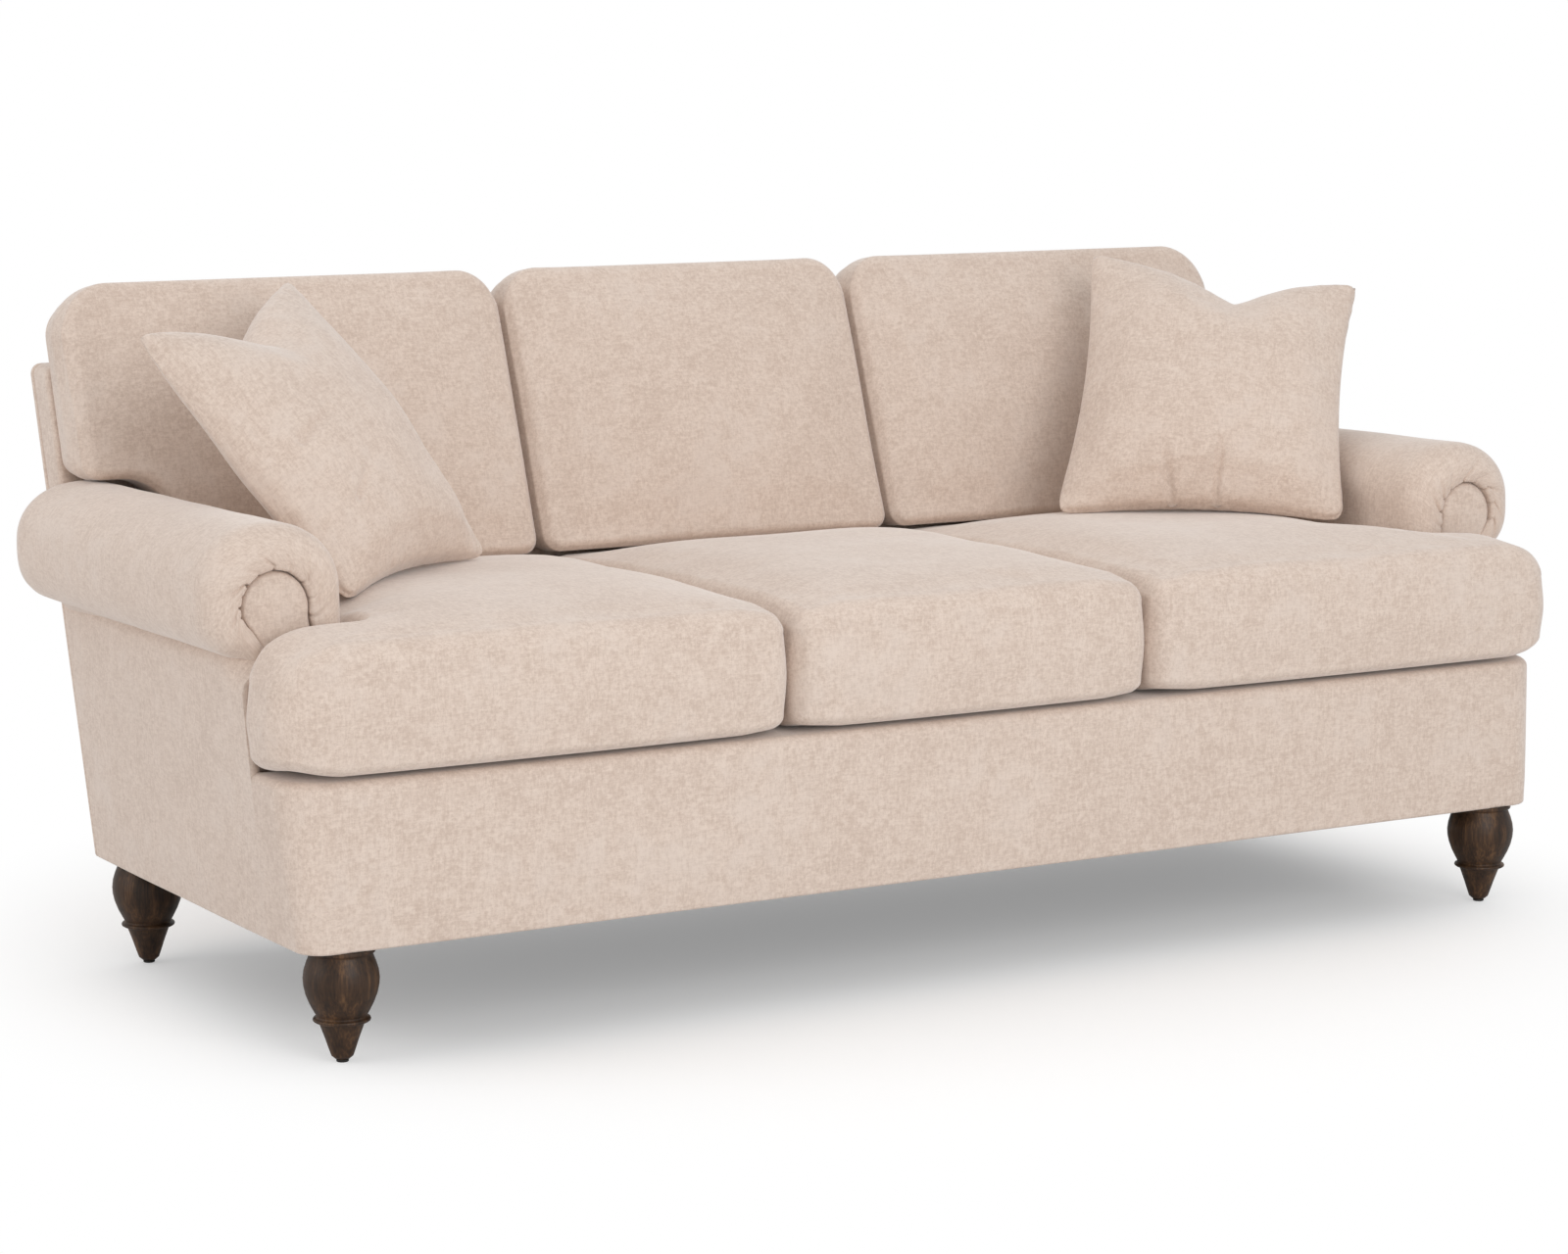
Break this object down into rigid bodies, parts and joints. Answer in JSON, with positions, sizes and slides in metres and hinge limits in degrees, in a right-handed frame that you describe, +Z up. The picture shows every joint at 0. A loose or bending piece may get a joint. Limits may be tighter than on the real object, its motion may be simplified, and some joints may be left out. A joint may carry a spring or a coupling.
{
  "type": "english roll arm sofa",
  "caption": "Long upholstered sofa with low set-back rolled arms, loose T-shaped seat cushions, raked back cushions, turned wooden legs and two throw pillows.",
  "frame": {"origin": "middle of the sofa's floor box: centred in X and Y, on the floor plane under the four feet", "axes": "+X along the sofa's length towards its left-hand arm as one sits (the right-hand arm as seen from the front), +Y from the front towards the back, +Z up"},
  "size_m": [2.123, 0.9654, 0.9426],
  "materials": {
    "upholstery": "soft brushed weave, beige with a warm pink cast, lightly heathered",
    "walnut_leg": "dark walnut stain, satin lacquer",
    "hardwood_frame": "plain planed hardwood",
    "spring_steel": "plain bright wire",
    "nylon_glide": "matt",
    "dust_cloth": "thin black spun-bonded cloth",
    "deck_felt": "needled felt under plain deck cloth"
  },
  "bodies": {
    "sofa_frame": {"leg_front_left": "walnut_leg", "floor_glide_front_left": "nylon_glide", "leg_bolt_front_left": "spring_steel", "leg_front_right": "walnut_leg", "floor_glide_front_right": "nylon_glide", "leg_bolt_front_right": "spring_steel", "leg_rear_left": "walnut_leg", "floor_glide_rear_left": "nylon_glide", "leg_bolt_rear_left": "spring_steel", "leg_rear_right": "walnut_leg", "floor_glide_rear_right": "nylon_glide", "leg_bolt_rear_right": "spring_steel", "front_rail": "hardwood_frame", "rear_rail": "hardwood_frame", "side_rail_right": "hardwood_frame", "side_rail_left": "hardwood_frame", "centre_rail_right": "hardwood_frame", "centre_rail_left": "hardwood_frame", "arm_post_right": "hardwood_frame", "arm_post_left": "hardwood_frame", "arm_board_right": "hardwood_frame", "arm_board_left": "hardwood_frame", "back_post_right": "hardwood_frame", "back_post_left": "hardwood_frame", "back_top_rail": "hardwood_frame", "back_lower_rail": "hardwood_frame", "corner_block_front_right": "hardwood_frame", "corner_block_front_left": "hardwood_frame", "corner_block_rear_right": "hardwood_frame", "corner_block_rear_left": "hardwood_frame", "seat_spring_1": "spring_steel", "seat_spring_2": "spring_steel", "seat_spring_3": "spring_steel", "seat_spring_4": "spring_steel", "seat_spring_5": "spring_steel", "seat_spring_6": "spring_steel", "seat_spring_7": "spring_steel", "seat_spring_8": "spring_steel", "seat_spring_9": "spring_steel", "seat_deck": "deck_felt", "dust_cover": "dust_cloth", "front_border": "upholstery", "outside_arm_right": "upholstery", "outside_arm_left": "upholstery", "inside_back": "upholstery", "outside_back": "upholstery", "arm_roll_right": "upholstery", "arm_roll_left": "upholstery", "arm_facing_right": "upholstery", "arm_facing_left": "upholstery"},
    "left_seat": {"seat_cushion_left": "upholstery"},
    "centre_seat": {"seat_cushion_centre": "upholstery"},
    "right_seat": {"seat_cushion_right": "upholstery"},
    "left_back": {"back_cushion_left": "upholstery"},
    "centre_back": {"back_cushion_centre": "upholstery"},
    "right_back": {"back_cushion_right": "upholstery"},
    "left_pillow": {"throw_pillow_left": "upholstery"},
    "right_pillow": {"throw_pillow_right": "upholstery"}
  },
  "joints": [
    {"name": "left_seat_pull", "type": "slide", "parent": "sofa_frame", "child": "left_seat", "axis": [0, -1, 0], "range_m": [0, 0.7]},
    {"name": "centre_seat_pull", "type": "slide", "parent": "sofa_frame", "child": "centre_seat", "axis": [0, -1, 0], "range_m": [0, 0.7]},
    {"name": "right_seat_pull", "type": "slide", "parent": "sofa_frame", "child": "right_seat", "axis": [0, -1, 0], "range_m": [0, 0.7]},
    {"name": "left_back_lift", "type": "slide", "parent": "sofa_frame", "child": "left_back", "axis": [0, 0.2961, 0.9552], "range_m": [0, 0.35]},
    {"name": "centre_back_lift", "type": "slide", "parent": "sofa_frame", "child": "centre_back", "axis": [0, 0.2961, 0.9552], "range_m": [0, 0.35]},
    {"name": "right_back_lift", "type": "slide", "parent": "sofa_frame", "child": "right_back", "axis": [0, 0.2961, 0.9552], "range_m": [0, 0.35]},
    {"name": "left_pillow_lift", "type": "slide", "parent": "left_seat", "child": "left_pillow", "axis": [0, 0, 1], "range_m": [0, 0.45]},
    {"name": "right_pillow_lift", "type": "slide", "parent": "right_seat", "child": "right_pillow", "axis": [0, 0, 1], "range_m": [0, 0.45]}
  ]
}
